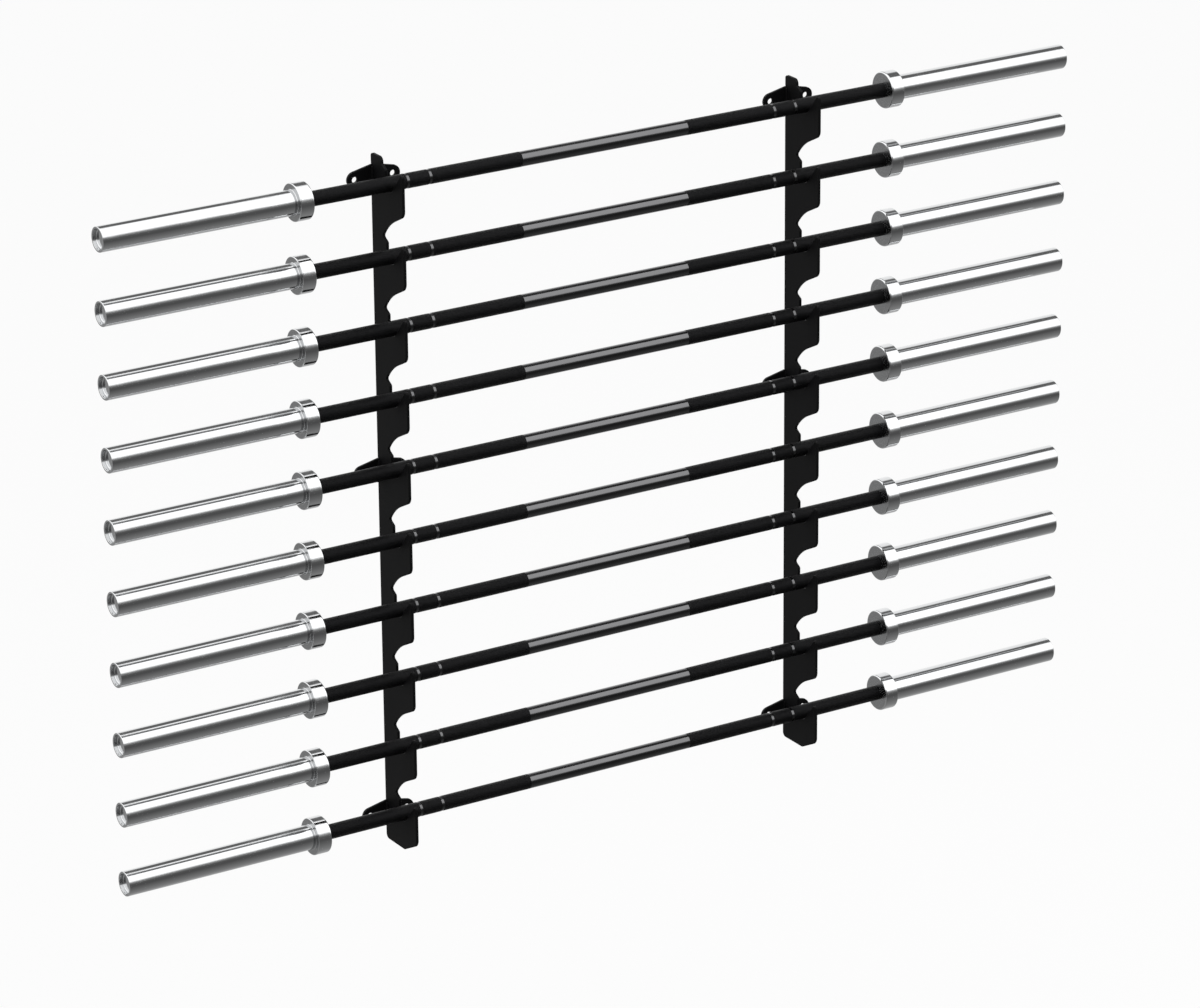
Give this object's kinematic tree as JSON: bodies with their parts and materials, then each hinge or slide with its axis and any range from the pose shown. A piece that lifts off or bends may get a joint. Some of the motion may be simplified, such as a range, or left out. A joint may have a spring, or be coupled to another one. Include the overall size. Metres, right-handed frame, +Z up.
{
  "type": "barbell storage rack",
  "caption": "Wall-mounted barbell storage rack: tall hook plates on wall wings carry full-length barbells one above another, and every barbell lifts out and has revolving sleeves.",
  "frame": {"origin": "on the wall plane, midway between the hook plates, at the height of the middle wings' fixing holes", "axes": "+X along the bars, to the right as seen from the room; +Y into the wall; +Z up"},
  "size_m": [2.2, 0.119, 1.4283],
  "materials": {
    "powder_coat": "black satin powder coat",
    "black_shaft": "black oxide, knurled",
    "hard_chrome": "polished hard chrome",
    "end_cap": "bright chrome, pressed"
  },
  "bodies": {
    "rack": {"left_hook_plate": "powder_coat", "left_top_wing": "powder_coat", "left_middle_wing": "powder_coat", "left_bottom_wing": "powder_coat", "right_hook_plate": "powder_coat", "right_top_wing": "powder_coat", "right_middle_wing": "powder_coat", "right_bottom_wing": "powder_coat"},
    "bar_01": {"bar_01_shaft": "black_shaft"},
    "bar_01_left_end": {"bar_01_left_sleeve": "hard_chrome", "bar_01_left_end_cap": "end_cap"},
    "bar_01_right_end": {"bar_01_right_sleeve": "hard_chrome", "bar_01_right_end_cap": "end_cap"},
    "bar_02": {"bar_02_shaft": "black_shaft"},
    "bar_02_left_end": {"bar_02_left_sleeve": "hard_chrome", "bar_02_left_end_cap": "end_cap"},
    "bar_02_right_end": {"bar_02_right_sleeve": "hard_chrome", "bar_02_right_end_cap": "end_cap"},
    "bar_03": {"bar_03_shaft": "black_shaft"},
    "bar_03_left_end": {"bar_03_left_sleeve": "hard_chrome", "bar_03_left_end_cap": "end_cap"},
    "bar_03_right_end": {"bar_03_right_sleeve": "hard_chrome", "bar_03_right_end_cap": "end_cap"},
    "bar_04": {"bar_04_shaft": "black_shaft"},
    "bar_04_left_end": {"bar_04_left_sleeve": "hard_chrome", "bar_04_left_end_cap": "end_cap"},
    "bar_04_right_end": {"bar_04_right_sleeve": "hard_chrome", "bar_04_right_end_cap": "end_cap"},
    "bar_05": {"bar_05_shaft": "black_shaft"},
    "bar_05_left_end": {"bar_05_left_sleeve": "hard_chrome", "bar_05_left_end_cap": "end_cap"},
    "bar_05_right_end": {"bar_05_right_sleeve": "hard_chrome", "bar_05_right_end_cap": "end_cap"},
    "bar_06": {"bar_06_shaft": "black_shaft"},
    "bar_06_left_end": {"bar_06_left_sleeve": "hard_chrome", "bar_06_left_end_cap": "end_cap"},
    "bar_06_right_end": {"bar_06_right_sleeve": "hard_chrome", "bar_06_right_end_cap": "end_cap"},
    "bar_07": {"bar_07_shaft": "black_shaft"},
    "bar_07_left_end": {"bar_07_left_sleeve": "hard_chrome", "bar_07_left_end_cap": "end_cap"},
    "bar_07_right_end": {"bar_07_right_sleeve": "hard_chrome", "bar_07_right_end_cap": "end_cap"},
    "bar_08": {"bar_08_shaft": "black_shaft"},
    "bar_08_left_end": {"bar_08_left_sleeve": "hard_chrome", "bar_08_left_end_cap": "end_cap"},
    "bar_08_right_end": {"bar_08_right_sleeve": "hard_chrome", "bar_08_right_end_cap": "end_cap"},
    "bar_09": {"bar_09_shaft": "black_shaft"},
    "bar_09_left_end": {"bar_09_left_sleeve": "hard_chrome", "bar_09_left_end_cap": "end_cap"},
    "bar_09_right_end": {"bar_09_right_sleeve": "hard_chrome", "bar_09_right_end_cap": "end_cap"},
    "bar_10": {"bar_10_shaft": "black_shaft"},
    "bar_10_left_end": {"bar_10_left_sleeve": "hard_chrome", "bar_10_left_end_cap": "end_cap"},
    "bar_10_right_end": {"bar_10_right_sleeve": "hard_chrome", "bar_10_right_end_cap": "end_cap"}
  },
  "joints": [
    {"name": "bar_01_lift", "type": "slide", "parent": "rack", "child": "bar_01", "axis": [0, -0.6428, 0.766], "range_m": [0, 0.12]},
    {"name": "bar_01_left_spin", "type": "hinge", "parent": "bar_01", "child": "bar_01_left_end", "pos_m": [-0.66, -0.0695, 0.6], "axis": [1, 0, 0], "continuous": true},
    {"name": "bar_01_right_spin", "type": "hinge", "parent": "bar_01", "child": "bar_01_right_end", "pos_m": [0.66, -0.0695, 0.6], "axis": [1, 0, 0], "continuous": true},
    {"name": "bar_02_lift", "type": "slide", "parent": "rack", "child": "bar_02", "axis": [0, -0.6428, 0.766], "range_m": [0, 0.12]},
    {"name": "bar_02_left_spin", "type": "hinge", "parent": "bar_02", "child": "bar_02_left_end", "pos_m": [-0.66, -0.0695, 0.455], "axis": [1, 0, 0], "continuous": true},
    {"name": "bar_02_right_spin", "type": "hinge", "parent": "bar_02", "child": "bar_02_right_end", "pos_m": [0.66, -0.0695, 0.455], "axis": [1, 0, 0], "continuous": true},
    {"name": "bar_03_lift", "type": "slide", "parent": "rack", "child": "bar_03", "axis": [0, -0.6428, 0.766], "range_m": [0, 0.12]},
    {"name": "bar_03_left_spin", "type": "hinge", "parent": "bar_03", "child": "bar_03_left_end", "pos_m": [-0.66, -0.0695, 0.31], "axis": [1, 0, 0], "continuous": true},
    {"name": "bar_03_right_spin", "type": "hinge", "parent": "bar_03", "child": "bar_03_right_end", "pos_m": [0.66, -0.0695, 0.31], "axis": [1, 0, 0], "continuous": true},
    {"name": "bar_04_lift", "type": "slide", "parent": "rack", "child": "bar_04", "axis": [0, -0.6428, 0.766], "range_m": [0, 0.12]},
    {"name": "bar_04_left_spin", "type": "hinge", "parent": "bar_04", "child": "bar_04_left_end", "pos_m": [-0.66, -0.0695, 0.165], "axis": [1, 0, 0], "continuous": true},
    {"name": "bar_04_right_spin", "type": "hinge", "parent": "bar_04", "child": "bar_04_right_end", "pos_m": [0.66, -0.0695, 0.165], "axis": [1, 0, 0], "continuous": true},
    {"name": "bar_05_lift", "type": "slide", "parent": "rack", "child": "bar_05", "axis": [0, -0.6428, 0.766], "range_m": [0, 0.12]},
    {"name": "bar_05_left_spin", "type": "hinge", "parent": "bar_05", "child": "bar_05_left_end", "pos_m": [-0.66, -0.0695, 0.02], "axis": [1, 0, 0], "continuous": true},
    {"name": "bar_05_right_spin", "type": "hinge", "parent": "bar_05", "child": "bar_05_right_end", "pos_m": [0.66, -0.0695, 0.02], "axis": [1, 0, 0], "continuous": true},
    {"name": "bar_06_lift", "type": "slide", "parent": "rack", "child": "bar_06", "axis": [0, -0.6428, 0.766], "range_m": [0, 0.12]},
    {"name": "bar_06_left_spin", "type": "hinge", "parent": "bar_06", "child": "bar_06_left_end", "pos_m": [-0.66, -0.0695, -0.125], "axis": [1, 0, 0], "continuous": true},
    {"name": "bar_06_right_spin", "type": "hinge", "parent": "bar_06", "child": "bar_06_right_end", "pos_m": [0.66, -0.0695, -0.125], "axis": [1, 0, 0], "continuous": true},
    {"name": "bar_07_lift", "type": "slide", "parent": "rack", "child": "bar_07", "axis": [0, -0.6428, 0.766], "range_m": [0, 0.12]},
    {"name": "bar_07_left_spin", "type": "hinge", "parent": "bar_07", "child": "bar_07_left_end", "pos_m": [-0.66, -0.0695, -0.27], "axis": [1, 0, 0], "continuous": true},
    {"name": "bar_07_right_spin", "type": "hinge", "parent": "bar_07", "child": "bar_07_right_end", "pos_m": [0.66, -0.0695, -0.27], "axis": [1, 0, 0], "continuous": true},
    {"name": "bar_08_lift", "type": "slide", "parent": "rack", "child": "bar_08", "axis": [0, -0.6428, 0.766], "range_m": [0, 0.12]},
    {"name": "bar_08_left_spin", "type": "hinge", "parent": "bar_08", "child": "bar_08_left_end", "pos_m": [-0.66, -0.0695, -0.415], "axis": [1, 0, 0], "continuous": true},
    {"name": "bar_08_right_spin", "type": "hinge", "parent": "bar_08", "child": "bar_08_right_end", "pos_m": [0.66, -0.0695, -0.415], "axis": [1, 0, 0], "continuous": true},
    {"name": "bar_09_lift", "type": "slide", "parent": "rack", "child": "bar_09", "axis": [0, -0.6428, 0.766], "range_m": [0, 0.12]},
    {"name": "bar_09_left_spin", "type": "hinge", "parent": "bar_09", "child": "bar_09_left_end", "pos_m": [-0.66, -0.0695, -0.56], "axis": [1, 0, 0], "continuous": true},
    {"name": "bar_09_right_spin", "type": "hinge", "parent": "bar_09", "child": "bar_09_right_end", "pos_m": [0.66, -0.0695, -0.56], "axis": [1, 0, 0], "continuous": true},
    {"name": "bar_10_lift", "type": "slide", "parent": "rack", "child": "bar_10", "axis": [0, -0.6428, 0.766], "range_m": [0, 0.12]},
    {"name": "bar_10_left_spin", "type": "hinge", "parent": "bar_10", "child": "bar_10_left_end", "pos_m": [-0.66, -0.0695, -0.705], "axis": [1, 0, 0], "continuous": true},
    {"name": "bar_10_right_spin", "type": "hinge", "parent": "bar_10", "child": "bar_10_right_end", "pos_m": [0.66, -0.0695, -0.705], "axis": [1, 0, 0], "continuous": true}
  ]
}
